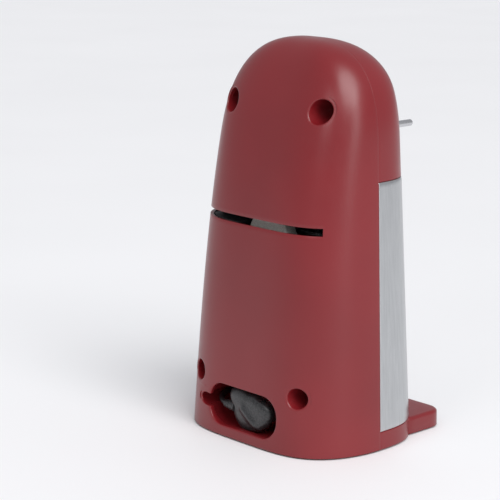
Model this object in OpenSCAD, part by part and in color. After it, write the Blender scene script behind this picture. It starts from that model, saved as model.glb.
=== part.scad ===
// Tall electric can opener with a knife and scissors sharpener in its rear shell.
// Front is -Y, rear is +Y, up is +Z. The floor is z = 0.

/* [Body] */
// Overall height
body_h = 235; // [215:1:248]
// Width across the base
base_w = 136; // [124:1:170]
// Width that the straight taper of the sides would reach at the top
top_w = 110; // [100:1:136]
// Height under the dome, measured down from the top
dome_drop = 59; // [50:1:75]
// Depth from the parting plane to the rear face at the base
rear_d = 49; // [47:1:62]
// Loss of rear depth between base and top, before the curve
rear_taper = 4; // [0:0.5:6]
// Depth from the parting plane to the front face at the base
front_d = 48; // [46:1:60]
// Loss of front depth between base and top, before the dome
front_taper = 15; // [8:0.5:16]
// Height under the dome of the front face, measured down from the top
front_drop = 30; // [24:1:40]
// How far the parting plane leans forward from base to top
seam_lean = 8; // [4:0.5:10]
// Squareness of the rear corners
rear_corner = 4.1; // [3:0.1:5]
// Squareness of the front corners
front_corner = 3; // [2.6:0.1:4]
// Wall thickness of the shells
wall = 2.5; // [2:0.1:3]
// Gap between the shells' lower edge and the floor
foot_lift = 1; // [0.6:0.1:2]

/* [Foot] */
// Height of the band and of the forward foot
band_h = 11; // [9:0.5:14]
// Reach of the foot in front of the parting plane
foot_reach = 63; // [60:1:76]
// Width of the foot
foot_w = 120; // [110:1:124]
// Corner radius of the foot
foot_r = 9; // [5:0.5:14]

/* [Front panel] */
// Thickness of the steel wrap panel
panel_t = 0.8; // [0.6:0.1:1.2]
// Height of the panel's upper edge
panel_top = 157; // [140:1:158]
// How far the panel stands proud of the shell
panel_proud = 0.3; // [0:0.1:0.5]
// Gap behind the panel and round its edges
panel_gap = 0.1; // [0.05:0.05:0.3]

/* [Housing screws] */
// Distance of the lower screws from the middle
low_screw_x = 42; // [38:0.5:46]
// Height of the lower screws
low_screw_z = 35; // [30:0.5:50]
// Distance of the upper screws from the middle
top_screw_x = 37; // [32:0.5:39]
// Distance of the upper screws below the top
top_screw_drop = 38; // [36:0.5:50]
// Diameter of the lower screw recesses
low_recess_d = 12; // [10:0.5:13]
// Diameter of the upper screw recesses
top_recess_d = 14; // [10:0.5:15]
// Diameter of the screws' thread
screw_d = 3.5; // [3:0.1:4]
// Diameter of the screws' head
screw_head_d = 7; // [6:0.1:8]
// Wall of the screw bosses
boss_wall = 1.8; // [1.5:0.1:2.5]

/* [Sharpener] */
// Height of the slot's upper edge
slot_top = 133; // [125:0.5:140]
// Height of the slot
slot_h = 4.5; // [3.5:0.1:5]
// Far end of the slot, measured from the middle
slot_reach = 48; // [40:0.5:50]
// Diameter of the sharpening wheel
wheel_d = 34; // [30:0.5:36]
// Width of the sharpening wheel
wheel_w = 9; // [6:0.5:10]

/* [Plug pocket] */
// Width of the pocket's mouth
pocket_w = 58; // [52:1:64]
// Lower edge of the pocket's mouth
pocket_z = 7; // [6:0.5:9]
// Height of the pocket's mouth
pocket_h = 25; // [22:0.5:27]
// Corner radius of the pocket's mouth
pocket_r = 11.5; // [8:0.5:12]
// Depth of the pocket, from the outer rear face
pocket_depth = 30; // [29.5:0.5:34]
// Diameter of the cord notch at the pocket's end
notch_d = 8; // [6:0.5:9]

/* [Motor] */
// Distance of the motor's axis from the middle
motor_x = -3; // [-6:0.5:2]
// Height of the motor's axis
motor_z = 120; // [112:0.5:124]
// Length of the laminated stack
stack_len = 20; // [14:0.5:22]
// Width of the laminated stack
stack_w = 60; // [54:1:66]
// Diameter of the rotor
rotor_d = 26; // [22:0.5:28]
// Gap between rotor and stator
air_gap = 0.5; // [0.4:0.1:0.8]
// Diameter of the motor's shaft
shaft_d = 5; // [4:0.5:6]

/* [Gear train] */
// Module of the first two gear pairs
fine_module = 0.8; // [0.8:0.05:0.9]
// Module of the last gear pair
coarse_module = 1; // [1:0.05:1.1]
// Teeth of the motor pinion
motor_teeth = 12; // [11:1:13]
// Teeth of the two intermediate gear wheels
wheel_teeth = 48; // [46:1:50]
// Teeth of the pinions on the intermediate gears
pinion_teeth = 12; // [11:1:13]
// Teeth of the drive gear
drive_teeth = 44; // [42:1:46]
// Direction of the first gear from the motor's axis, in degrees
first_angle = 35; // [25:1:40]
// Width of each gear level
gear_w = 5; // [4:0.1:5]
// Free space between gear levels
level_gap = 0.5; // [0.4:0.1:0.6]
// Diameter of the gear axles
axle_d = 4; // [3:0.1:5]
// Distance of the drive axis below the top
drive_drop = 66.5; // [64:0.5:70]
// Distance of the drive axis from the middle
drive_x = 0; // [-3:0.5:3]

/* [Cutting head] */
// Diameter of the drive shaft
drive_shaft_d = 8; // [7:0.5:9]
// Diameter of the toothed drive wheel
drive_wheel_d = 16; // [14:0.5:17]
// Width of the drive wheel
drive_wheel_w = 4.5; // [3:0.5:5]
// Diameter of the cutting wheel
cutter_d = 23; // [20:0.5:24]
// Thickness of the cutting wheel
cutter_t = 2; // [1.5:0.1:2.5]
// Distance of the lever's pivot from the middle
pivot_x = -14; // [-16:0.5:-12]
// Height of the lever's pivot above the drive axis
pivot_rise = 27.5; // [26.5:0.5:29]
// Height of the cutting wheel's axis above the drive axis
cutter_rise = 18.5; // [18:0.1:20]
// Distance of the guide posts from the middle
post_x = 31; // [29:0.5:34]
// Height of the guide posts above the drive axis
post_rise = 14; // [12:0.5:15]
// Diameter of the guide posts
post_d = 4; // [3:0.1:5]
// Far end of the lever's grip, measured from the middle
grip_end = 52; // [48:0.5:54]

/* [Fits] */
// Radial clearance of running fits
run_gap = 0.05; // [0.03:0.01:0.08]
// Free gap between parts that pass each other
free_gap = 0.4; // [0.3:0.1:0.6]

/* [Cord] */
// Diameter of the cord
cord_d = 3.4; // [3.4]
// Number of turns in the stowed coil
cord_turns = 7; // [7]
// Diameter of the coil at the middle of its turns
coil_d = 38; // [38]

/* [Hidden] */

$fn = 48;
big = 400;
cut = 1;              // how far a cutting shape runs past the face it cuts
red = "#8b272c";
steel = "#b9bcc0";
dark = "#2a2a2c";

// ---------- outer form ----------
// Every level is half of a rounded rectangle on each side of the parting plane.
seam_base = (foot_reach - rear_d) / 2;
dome_power = 2.6;
rear_curve_start = -30;
rear_curve_power = 2.6;
rear_round = 2;
front_dome_power = 2.1;

function dome(z, start, top, power) =
    let (k = min(1, max(0, (z - start) / (top - start)))) pow(max(0, 1 - pow(k, power)), 1 / power);
function seam_y(z) = seam_base - seam_lean * z / body_h;
function half_w(z, inset = 0) =
    (base_w / 2 - (base_w - top_w) / 2 * z / body_h - inset)
    * dome(z, body_h - dome_drop, body_h - inset, dome_power);
function rear_depth(z, inset = 0) =
    (rear_d - rear_taper * z / body_h - inset) * dome(z, rear_curve_start, body_h - inset,
        rear_curve_power);
function front_depth(z, inset = 0) =
    (front_d - front_taper * z / body_h - inset)
    * dome(z, body_h - front_drop, body_h - inset, front_dome_power);
function rounded(x, half, depth, px, py) = depth * pow(max(0, 1 - pow(min(1, abs(x) / half), px)), 1 / py);
function rear_y(x, z, inset = 0) =
    seam_y(z) + rounded(x, half_w(z, inset), rear_depth(z, inset), rear_corner, rear_round);
function front_y(x, z, inset = 0) =
    seam_y(z) - rounded(x, half_w(z, inset), front_depth(z, inset), front_corner, front_corner);

// side is +1 for the rear half and -1 for the front half
function power_of(v, p) = sign(v) * pow(abs(v), p);
function ring(z, inset, side, steps) =
    let (px = side > 0 ? rear_corner : front_corner, py = side > 0 ? rear_round : front_corner,
         w = half_w(z, inset), d = side > 0 ? rear_depth(z, inset) : front_depth(z, inset))
    [for (i = [0:steps]) let (a = 180 * i / steps)
        [w * power_of(cos(a), 2 / px), seam_y(z) + side * d * pow(sin(a), 2 / py), z]];

// Levels from the lower edge to just under the crown, closer together towards the crown.
dome_levels = 14;
wall_levels = 7;
function levels(low, high) = concat(
    [for (i = [0:wall_levels]) low + (body_h - dome_drop - low) * i / wall_levels],
    [for (i = [1:dome_levels]) body_h - dome_drop + (high - body_h + dome_drop)
        * sin(90 * i / (dome_levels + 1))]);

// A closed half body through rows of [height, extra inset]. Its flat side lies on the parting plane,
// or beyond it by the given overrun.
module half_body(side, inset, rows, over = 0, steps = 26) {
    edge = [0, side * over, 0];
    rings = [for (r = rows) let (line = ring(r[0], inset + r[1], side, steps))
        [for (k = [0:steps]) k % steps == 0 ? line[k] - edge : line[k]]];
    n = steps + 1;
    m = len(rings);
    crown = [0, seam_y(body_h - inset), body_h - inset] - edge;
    quads = [for (i = [0:m - 2], j = [0:n - 1]) let (k = (j + 1) % n)
        each [[i * n + j, i * n + k, (i + 1) * n + k], [i * n + j, (i + 1) * n + k, (i + 1) * n + j]]];
    cap = [for (j = [0:n - 1]) [(m - 1) * n + j, (m - 1) * n + (j + 1) % n, n * m]];
    faces = concat(quads, cap, [[for (j = [n - 1:-1:0]) j]]);
    polyhedron(concat([for (r = rings) each r], [crown]),
               side > 0 ? [for (f = faces) [for (i = [len(f) - 1:-1:0]) f[i]]] : faces, convexity = 6);
}

// A curved sheet on the front half between two insets and two heights.
module wrap_sheet(outer, inner, low, high, steps = 26, bands = 8) {
    zs = [for (i = [0:bands]) low + (high - low) * i / bands];
    n = steps + 1;
    points = concat([for (z = zs) each ring(z, outer, -1, steps)], [for (z = zs) each ring(z, inner, -1,
        steps)]);
    b = n * (bands + 1);
    skin = [for (i = [0:bands - 1], j = [0:steps - 1]) let (p = i * n + j)
        each [[p, p + 1, p + n + 1], [p, p + n + 1, p + n]]];
    back = [for (f = skin) [f[2] + b, f[1] + b, f[0] + b]];
    low_rim = [for (j = [0:steps - 1]) each [[j + 1, j, j + b], [j + 1, j + b, j + 1 + b]]];
    t = bands * n;
    high_rim = [for (j = [0:steps - 1]) each [[t + j, t + j + 1, t + j + b], [t + j + 1, t + j + 1 + b,
        t + j + b]]];
    side_rims = [for (i = [0:bands - 1]) let (p = i * n, q = i * n + steps)
        each [[p, p + n, p + b], [p + n, p + n + b, p + b], [q + n, q, q + b], [q + n, q + b, q + n + b]]];
    polyhedron(points, concat(skin, back, low_rim, high_rim, side_rims), convexity = 6);
}

// ---------- placing ----------
module along_y(x, y, z) translate([x, y, z]) rotate([-90, 0, 0]) children();   // local +Z points to +Y
module front_on(y) translate([0, y, 0]) rotate([90, 0, 0]) children();         // drawing X-Z, grows to -Y

top_screw_z = body_h - top_screw_drop;
drive_z = body_h - drive_drop;
slot_z = slot_top - slot_h;
screws = [for (s = [-1, 1]) each [[s * low_screw_x, low_screw_z, low_recess_d],
                                  [s * top_screw_x, top_screw_z, top_recess_d]]];

// Y levels of the mechanism, from the inner front wall backwards
front_clear = 2.5;
plate_t = 1.5;
plate_gap = 1;
inner_front = front_y(0, drive_z, wall);
// rear face
level_y = [for (i = [0:2]) inner_front + front_clear + (3 - i) * gear_w + (2 - i) * level_gap];
plate_y = level_y[0] + plate_gap;       // front face of the chassis plate
bracket_t = 6;
stack_y = plate_y + plate_t + bracket_t;
stack_end = stack_y + stack_len;
rear_bracket_y = stack_end + bracket_t;
nut_t = 2.5;
wheel_clear = 3;
wheel_back = rear_y(motor_x, slot_top, wall) - wheel_clear - nut_t;
wheel_y = wheel_back - wheel_w;

// Gear centres in X and Z
motor_at = [motor_x, motor_z];
drive_at = [drive_x, drive_z];
fine_step = fine_module * (motor_teeth + wheel_teeth) / 2;
second_step = fine_module * (pinion_teeth + wheel_teeth) / 2;
last_step = coarse_module * (pinion_teeth + drive_teeth) / 2;
first_at = motor_at + fine_step * [cos(first_angle), sin(first_angle)];
reach = drive_at - first_at;
second_turn = acos((pow(second_step, 2) + pow(norm(reach), 2) - pow(last_step, 2))
    / (2 * second_step * norm(reach)));
second_angle = atan2(reach[1], reach[0]) + second_turn;
second_at = first_at + second_step * [cos(second_angle), sin(second_angle)];
last_angle = atan2(drive_at[1] - second_at[1], drive_at[0] - second_at[0]);

// Turn of a gear so that a gap meets the tooth of the gear before it
function mesh_turn(angle, turn, teeth, next_teeth) =
    angle + 180 + 360 / next_teeth * ((angle - turn) * teeth / 360 - 0.5);
first_turn = mesh_turn(first_angle, 0, motor_teeth, wheel_teeth);
second_wheel_turn = mesh_turn(second_angle, first_turn, pinion_teeth, wheel_teeth);
drive_turn = mesh_turn(last_angle, second_wheel_turn, pinion_teeth, drive_teeth);

// Spur gear outline: straight-sided teeth with thinned flanks for backlash
backlash = 0.12;
module gear_shape(module_size, teeth, turn) {
    pitch_r = module_size * teeth / 2;
    tip_r = pitch_r + 0.85 * module_size;
    root_r = pitch_r - 1.15 * module_size;
    step = 360 / teeth;
    half_pitch = step / 4 - backlash / pitch_r * 180 / PI / 2;
    half_tip = half_pitch - 0.85 * module_size * tan(24) / pitch_r * 180 / PI;
    half_root = half_pitch + 0.9 * module_size * tan(14) / pitch_r * 180 / PI;
    polygon([for (i = [0:teeth - 1]) let (a = turn + i * step)
        each [for (p = [[root_r, -half_root], [pitch_r, -half_pitch], [tip_r, -half_tip], [tip_r, half_tip],
                        [pitch_r, half_pitch], [root_r, half_root]])
              p[0] * [cos(a + p[1]), sin(a + p[1])]]]);
}
module gear(at, y, module_size, teeth, turn, bore_r, width = gear_w)
    front_on(y) translate(at) linear_extrude(width) difference() {
        gear_shape(module_size, teeth, turn);
        circle(bore_r);
    }

// Hole for a shank, axle or shaft that fits it
function hole(d) = d + 2 * run_gap;

// ---------- cutting head places ----------
boss_proud = 3;                                     // bosses of the front wall, in front of it
boss_face = front_y(drive_x, drive_z) - boss_proud;
bush_t = 2;
bush_flange_t = 1.2;
drive_boss_d = drive_shaft_d + 2 * bush_t + 8;
lever_y = boss_face - free_gap;                     // rear face of the lever's arm
lever_t = 6;
lever_front = lever_y - lever_t;
pivot_at = [drive_x + pivot_x, drive_z + pivot_rise];
cutter_at = [drive_x, drive_z + cutter_rise];
lever_shaft_d = 8;
pivot_boss_d = lever_shaft_d + 6;
pivot_r = 8;                                        // eye of the lever round its shaft
lobe_r = 6;                                         // lobe of the lever behind the cutting wheel
wheel_stand = 5;                                    // gap between the lever and the cutting wheel
cutter_y = lever_front - wheel_stand;               // rear face of the cutting wheel
cutter_head_t = 2.6;
cutter_axle_d = 5;
crank_y = level_y[0] - free_gap * 2;                // rear face of the switch cam
crank_w = 5;
crank_reach = 9;
crank_r = 2.5;

// ---------- shells ----------
recess_floor = 8;          // seat of the screws' heads, behind the parting plane
front_boss_r = 5;
screw_reach = 14;          // depth of the screws in the front bosses
pillar_x = 44;
pillar_at = [for (s = [-1, 1]) each [[s * pillar_x, drive_z + 8], [s * pillar_x, motor_z - 16]]];
pillar_r = 4.5;
pillar_depth = 10;
base_t = 2.2;
base_top = foot_lift + base_t;
base_post_r = 4;
base_post_h = 14;
rib_t = 2;
base_rear = [50, 24];      // screws of the base plate in the rear housing
base_front = [46, -12];    // and in the front housing
pocket_wall = 1.7;
pocket_room = 1.9;         // how much wider the pocket is than its mouth, at the top and lower edge
pocket_side = 4;           // and at its two ends
pocket_mid_z = pocket_z + pocket_h / 2;
pocket_floor_y = rear_y(0, pocket_mid_z) - pocket_depth;
pocket_rim_y = rear_y(pocket_w / 2 + pocket_side, pocket_mid_z, wall);
notch_x = pocket_w / 2 + notch_d / 2 + 1.5;
slot_floor_y = seam_y(slot_top) + 14;
lead_hole_d = cord_d + 3;

module rounded_mouth(w, h, r) {
    square([w - 2 * r, h], center = true);
    square([w, h - 2 * r], center = true);
    for (sx = [-1, 1], sz = [-1, 1]) translate([sx * (w / 2 - r), sz * (h / 2 - r)]) circle(r);
}
room_low = foot_lift - 20;     // the room runs on well below the open lower edge
rear_rows = [for (z = levels(foot_lift, body_h)) [z, 0]];
function room_rows(low) = [for (z = levels(low, body_h - wall)) [z, 0]];

// Post for a base plate screw, with a rib to the side wall
module base_post(side, at) translate([side * at[0], at[1], base_top]) {
    cylinder(r = base_post_r, h = base_post_h);
    translate([side > 0 ? 0 : -big, -rib_t / 2, 0]) cube([big, rib_t, base_post_h]);
}
// Room inside the rear shell, less the bosses, posts and pocket that stand in it
module rear_room() difference() {
    half_body(1, wall, room_rows(room_low), cut);
    for (s = screws) along_y(s[0], -big, s[1]) cylinder(r = s[2] / 2 + boss_wall, h = 2 * big);
    translate([-pocket_w / 2 - pocket_side - pocket_wall, pocket_floor_y - pocket_wall,
               pocket_z - pocket_room - pocket_wall])
        cube([pocket_w + 2 * (pocket_side + pocket_wall), big, pocket_h + 2 * (pocket_room + pocket_wall)]);
    along_y(notch_x, pocket_floor_y - pocket_wall, pocket_mid_z) cylinder(d = notch_d + 2 * pocket_wall,
        h = big);
    for (s = [-1, 1]) base_post(s, base_rear);
}

module rear_housing() color(red) difference() {
    half_body(1, 0, rear_rows);
    rear_room();
    for (s = screws) {
        along_y(s[0], seam_y(s[1]) + recess_floor, s[1]) cylinder(d = s[2], h = big);
        along_y(s[0], seam_y(s[1]) - cut, s[1]) cylinder(d = hole(screw_d), h = big);
    }
    for (s = [-1, 1]) translate([s * base_rear[0], base_rear[1], base_top - cut])
        cylinder(d = hole(screw_d), h = base_post_h - cut);
    // pocket: its room inside, its mouth, and the cord's notch and hole
    translate([-pocket_w / 2 - pocket_side, pocket_floor_y, pocket_z - pocket_room])
        cube([pocket_w + 2 * pocket_side, pocket_rim_y - pocket_floor_y, pocket_h + 2 * pocket_room]);
    translate([0, pocket_floor_y + cut, pocket_mid_z]) rotate([-90, 0, 0]) linear_extrude(big)
        rounded_mouth(pocket_w, pocket_h, pocket_r);
    along_y(notch_x, pocket_floor_y, pocket_mid_z) cylinder(d = notch_d, h = big);
    translate([pocket_w / 2 - cut, pocket_floor_y, pocket_mid_z - notch_d / 3])
        cube([notch_x - pocket_w / 2 + cut, big, notch_d * 2 / 3]);
    along_y(notch_x, pocket_floor_y - pocket_wall - cut, pocket_mid_z)
        cylinder(d = lead_hole_d, h = pocket_wall + 2 * cut);
    // sharpener slot, open at the side
    translate([-slot_reach, slot_floor_y, slot_z]) cube([big, big, slot_h]);
}

panel_recess = panel_t + panel_gap - panel_proud;
ledge = 0.4;               // slope of the ledges above and below the panel
panel_low = band_h + ledge;
panel_high = panel_top - ledge;
front_rows = concat([[foot_lift, 0], [band_h, 0]],
    [for (i = [0:wall_levels]) [panel_low + (panel_high - panel_low) * i / wall_levels, panel_recess]],
    [[panel_top, 0], [(panel_top + body_h - dome_drop) / 2, 0]],
    [for (i = [0:dome_levels]) [body_h - dome_drop + dome_drop * sin(90 * i / (dome_levels + 1)), 0]]);

module foot_plan(inset = 0) {
    y0 = seam_base - foot_reach + inset;
    w = foot_w / 2 - inset;
    r = foot_r - inset;
    translate([-w + r, y0]) square([2 * (w - r), foot_reach / 2]);
    translate([-w, y0 + r]) square([2 * w, foot_reach / 2 - r]);
    for (s = [-1, 1]) translate([s * (w - r), y0 + r]) circle(r);
}

// Room inside the front shell, less the bosses, posts and pillars that stand in it
module front_room() difference() {
    half_body(-1, wall, room_rows(room_low), cut);
    for (s = screws) along_y(s[0], -big, s[1]) cylinder(r = front_boss_r, h = big + seam_y(s[1]) + 2 * cut);
    for (p = pillar_at) along_y(p[0], -big, p[1]) cylinder(r = pillar_r, h = big + plate_y);
    for (s = [-1, 1]) {
        base_post(s, base_front);
        along_y(drive_x + s * post_x, -big, drive_z + post_rise) cylinder(d = post_d + 5, h = big +
            post_root_y);
    }
    along_y(pivot_at[0], -big, pivot_at[1]) cylinder(d = pivot_boss_d, h = big +
        crank_y - crank_w - free_gap);
}
post_root_y = level_y[2];

module front_housing() color(red) difference() {
    union() {
        difference() {
            union() {
                half_body(-1, 0, front_rows);
                translate([0, 0, foot_lift]) linear_extrude(band_h - foot_lift) foot_plan();
            }
            front_room();
        }
        along_y(drive_x, boss_face, drive_z) cylinder(d = drive_boss_d, h = boss_proud + wall / 2);
        along_y(pivot_at[0], boss_face, pivot_at[1]) cylinder(d = pivot_boss_d, h = boss_proud + wall);
    }
    translate([0, 0, foot_lift - cut]) linear_extrude(band_h - wall - foot_lift + cut) foot_plan(wall);
    for (s = screws) along_y(s[0], seam_y(s[1]) - screw_reach - cut, s[1]) cylinder(d = hole(screw_d),
        h = big);
    for (p = pillar_at) along_y(p[0], plate_y - pillar_depth - cut, p[1]) cylinder(d = hole(screw_d),
        h = big);
    for (s = [-1, 1]) {
        translate([s * base_front[0], base_front[1], base_top - cut])
            cylinder(d = hole(screw_d), h = base_post_h - cut);
        along_y(drive_x + s * post_x, -big / 2, drive_z + post_rise) cylinder(d = hole(post_d),
            h = big / 2 + post_root_y - wall);
    }
    along_y(drive_x, -big / 2, drive_z) cylinder(d = hole(drive_shaft_d + 2 * bush_t), h = big / 2);
    along_y(pivot_at[0], -big / 2, pivot_at[1]) cylinder(d = hole(lever_shaft_d), h = big / 2);
}

module front_panel() color(steel)
    wrap_sheet(-panel_proud, panel_t - panel_proud, panel_low + panel_gap, panel_high - panel_gap);

pad_d = 12;
pad_set = 1;               // depth of the feet's seats in the base plate
pads = [for (s = [-1, 1]) each [[s * (foot_w / 2 - 14), seam_base - foot_reach + 14], [s * 50, 36]]];
tower_x = -46;             // clamp of the strain relief
tower_t = 4;
relief_z = 9;
relief_y = -24;
relief_d = 9;
neck_d = 6;

module base_outline(gap) {
    for (side = [-1, 1]) polygon([for (p = ring(foot_lift, wall + gap, side, 26)) [p[0], p[1]]]);
    foot_plan(wall + gap);
}
module base_plate() color(dark) difference() {
    union() {
        translate([0, 0, foot_lift]) linear_extrude(base_t) base_outline(free_gap / 2);
        translate([tower_x, relief_y - relief_d * 0.8, foot_lift])
            cube([tower_t, relief_d * 1.6, relief_z + relief_d * 0.8 - foot_lift]);
    }
    for (p = pads) translate([p[0], p[1], foot_lift - cut]) cylinder(d = hole(pad_d), h = pad_set + cut);
    for (s = [-1, 1], p = [base_rear, base_front]) translate([s * p[0], p[1], foot_lift - cut]) {
        cylinder(d = hole(screw_d), h = base_t + 2 * cut);
        cylinder(d = screw_head_d + 2 * free_gap, h = base_sink + cut);
    }
    translate([tower_x - cut, relief_y, relief_z]) rotate([0, 90, 0]) cylinder(d = hole(neck_d),
        h = tower_t + 2 * cut);
}
base_sink = 1.2;
module rubber_feet() color("#1c1c1e")
    for (p = pads) translate([p[0], p[1], 0]) {
        translate([0, 0, 0.4]) cylinder(d = pad_d, h = foot_lift + pad_set - 0.4);
        cylinder(d1 = pad_d - 0.8, d2 = pad_d, h = 0.4, $fn = 48);
    }

// ---------- fasteners ----------
// Pan head screw with a cross recess, pointing down from a head on z = 0
head_t = 2.4;
module screw(d, head_d, long, head = head_t) difference() {
    union() {
        translate([0, 0, -long]) cylinder(d = d, h = long);
        cylinder(d = head_d, h = head * 0.6);
        translate([0, 0, head * 0.6]) cylinder(d1 = head_d, d2 = head_d * 0.7, h = head * 0.4);
    }
    for (a = [0, 90]) rotate(a) translate([-head_d / 4, -0.45, head / 2]) cube([head_d / 2, 0.9, head]);
}
module housing_screws() color(steel)
    for (s = screws) along_y(s[0], seam_y(s[1]) + recess_floor, s[1])
        screw(screw_d, screw_head_d, recess_floor + screw_reach);
module base_screws() color(steel)
    for (s = [-1, 1], p = [base_rear, base_front]) translate([s * p[0], p[1], foot_lift + base_sink])
        mirror([0, 0, 1]) screw(screw_d, screw_head_d, base_post_h - base_sink, base_sink + foot_lift / 2);
module chassis_screws() color(steel)
    for (p = pillar_at) along_y(p[0], plate_y + plate_t, p[1]) screw(screw_d, screw_head_d, pillar_depth);

// ---------- motor ----------
leg_w = 8;
limb_h = 12;
window_h = 14;
pole_h = 20;               // from the motor's axis to the top of the stack
bore_r = rotor_d / 2 + air_gap;
leg_drop = pole_h + window_h + limb_h;   // from the axis to the foot of the stack
coil_t = 8.6;
coil_w = stack_w - 2 * leg_w - 10;
coil_mid_z = motor_z - leg_drop + limb_h / 2;
motor_screw_x = stack_w / 2 - 5;
motor_screw_d = 4;
motor_head_d = 8;
bearing_d = 9;
bearing_l = 4.5;
hub_d = 14;
bar_t = 2;

module motor_stator() color("#6f7378") front_on(stack_end) translate(motor_at) linear_extrude(stack_len)
        difference() {
    translate([-stack_w / 2, -leg_drop]) square([stack_w, leg_drop + pole_h]);
    translate([-stack_w / 2 + leg_w, -leg_drop + limb_h]) square([stack_w - 2 * leg_w, window_h]);
    circle(bore_r);
    for (s = [-1, 1]) {
        translate([s * motor_screw_x, 0]) circle(d = hole(motor_screw_d));
        rotate(s * 42) translate([-1, bore_r - 0.5]) square([2, 3]);
        translate([s * (stack_w / 2 + 2), pole_h + 2]) rotate(45) square(12, center = true);
    }
}
module motor_coil() color("#a2562a") translate([motor_x, (stack_y + stack_end) / 2, coil_mid_z])
    rotate([0, 90, 0]) linear_extrude(coil_w, center = true) difference() {
        rounded_mouth(limb_h + 2 * coil_t, stack_len + 2 * coil_t, 4);
        square([limb_h + 2 * run_gap, stack_len + 2 * run_gap], center = true);
    }

// Bracket with a bearing seat: its bar lies at the side that faces away from the stack
module bracket() difference() {
    union() {
        translate([-motor_screw_x, -hub_d / 2 + 2, 0]) cube([2 * motor_screw_x, hub_d - 4, bar_t]);
        cylinder(d = hub_d, h = bearing_l);
        for (s = [-1, 1]) translate([s * motor_screw_x, 0, 0]) cylinder(d = 9, h = bracket_t);
    }
    translate([0, 0, -cut]) cylinder(d = bearing_d, h = bearing_l + 2 * cut);
    for (s = [-1, 1]) translate([s * motor_screw_x, 0, -cut]) cylinder(d = hole(motor_screw_d),
        h = bracket_t + 2 * cut);
}
module front_bracket() color(steel) along_y(motor_x, plate_y + plate_t, motor_z) bracket();
module rear_bracket() color(steel) translate([motor_x, rear_bracket_y, motor_z]) rotate([90, 0, 0])
        bracket();
module motor_bearings() color("#b08a4e") for (y = [plate_y + plate_t, rear_bracket_y - bearing_l])
    along_y(motor_x, y, motor_z) difference() {
        cylinder(d = bearing_d, h = bearing_l);
        translate([0, 0, -cut]) cylinder(d = hole(shaft_d), h = bearing_l + 2 * cut);
    }
module motor_screws() color(steel) for (s = [-1, 1])
    along_y(motor_x + s * motor_screw_x, rear_bracket_y, motor_z)
        screw(motor_screw_d, motor_head_d, rear_bracket_y - plate_y);
module rotor() color("#8d9196") along_y(motor_x, stack_y + 0.5, motor_z) difference() {
    cylinder(d = rotor_d, h = stack_len - 1);
    translate([0, 0, -cut]) cylinder(d = shaft_d, h = stack_len + 2 * cut);
    for (i = [0:11]) rotate(30 * i) translate([rotor_d / 2 - 0.4, -0.6, 1.5]) cube([2, 1.2, stack_len - 4]);
}
shaft_front = level_y[0] - gear_w;
module motor_shaft() color(steel) along_y(motor_x, shaft_front, motor_z)
    cylinder(d = shaft_d, h = wheel_back + nut_t + 0.6 - shaft_front);
module motor_pinion() color("#b08a4e") gear(motor_at, level_y[0], fine_module, motor_teeth, 0, shaft_d / 2);

// ---------- sharpener ----------
module sharpening_wheel() color("#e6e3dc") along_y(motor_x, wheel_y, motor_z) rotate_extrude($fn = 64)
    polygon([[shaft_d / 2, 0], [wheel_d / 2 - 1, 0], [wheel_d / 2, 1], [wheel_d / 2, wheel_w - 1],
             [wheel_d / 2 - 1, wheel_w], [shaft_d / 2, wheel_w]]);
module wheel_nut() color(steel) along_y(motor_x, wheel_back, motor_z) difference() {
    cylinder(d = 9.2, h = nut_t, $fn = 6);
    translate([0, 0, -cut]) cylinder(d = shaft_d, h = nut_t + 2 * cut);
}
guide_x = motor_x + wheel_d / 2 + 2;       // end of the guide beside the wheel
guide_wall = 3;
guide_floor_y = rear_y(slot_reach, slot_top, wall) - 8;
module sharpener_guide() color(dark) difference() {
    intersection() {
        translate([guide_x, guide_floor_y, slot_z - guide_wall])
            cube([slot_reach - guide_x, big, slot_h + 2 * guide_wall]);
        half_body(1, wall, room_rows(room_low));
    }
    translate([0, guide_floor_y + guide_wall, slot_z]) cube([big, big, slot_h]);
}

// ---------- chassis and gears ----------
plate_low = motor_z - 25;
plate_high = drive_z + 20;
plate_half_w = 49;
module chassis_plate() color("#c9ccd0") front_on(plate_y + plate_t) linear_extrude(plate_t) difference() {
    polygon([[-plate_half_w, plate_low + 4], [-plate_half_w + 4, plate_low], [plate_half_w - 4, plate_low],
             [plate_half_w, plate_low + 4], [plate_half_w, plate_high - 6], [plate_half_w - 6, plate_high],
             [-plate_half_w + 6, plate_high], [-plate_half_w, plate_high - 6]]);
    translate(motor_at) circle(d = hub_d - 4);
    for (s = [-1, 1]) translate([motor_x + s * motor_screw_x, motor_z]) circle(d = hole(motor_screw_d));
    for (p = [first_at, second_at]) translate(p) circle(d = axle_d);
    translate(drive_at) circle(d = hole(drive_shaft_d));
    for (p = pillar_at) translate(p) circle(d = hole(screw_d));
}
module axle(at, y) along_y(at[0], y, at[1]) {
    cylinder(d = axle_d, h = plate_y + plate_t - y);
    cylinder(d = axle_d + 2, h = 0.8);
}
module gear_axles() color(steel) {
    axle(first_at, level_y[1] - gear_w - 1);
    axle(second_at, level_y[2] - gear_w - 1);
    for (p = [first_at, second_at]) along_y(p[0], plate_y - plate_gap + 0.2, p[1]) cylinder(d = axle_d +
        2, h = plate_gap - 0.2);
}
// Compound gear: a wide wheel with the next pinion in front of it
module compound(at, level, turn, module_size) {
    gear(at, level_y[level], fine_module, wheel_teeth, turn, hole(axle_d) / 2);
    gear(at, level_y[level] - gear_w, module_size, pinion_teeth, turn, hole(axle_d) / 2, level_gap +
            gear_w);
}
module first_gear() color("#d9d5c4") compound(first_at, 0, first_turn, fine_module);
module second_gear() color("#d9d5c4") compound(second_at, 1, second_wheel_turn, coarse_module);
module drive_gear() color("#8d9196") gear(drive_at, level_y[2], coarse_module, drive_teeth, drive_turn,
        drive_shaft_d / 2);

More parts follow.
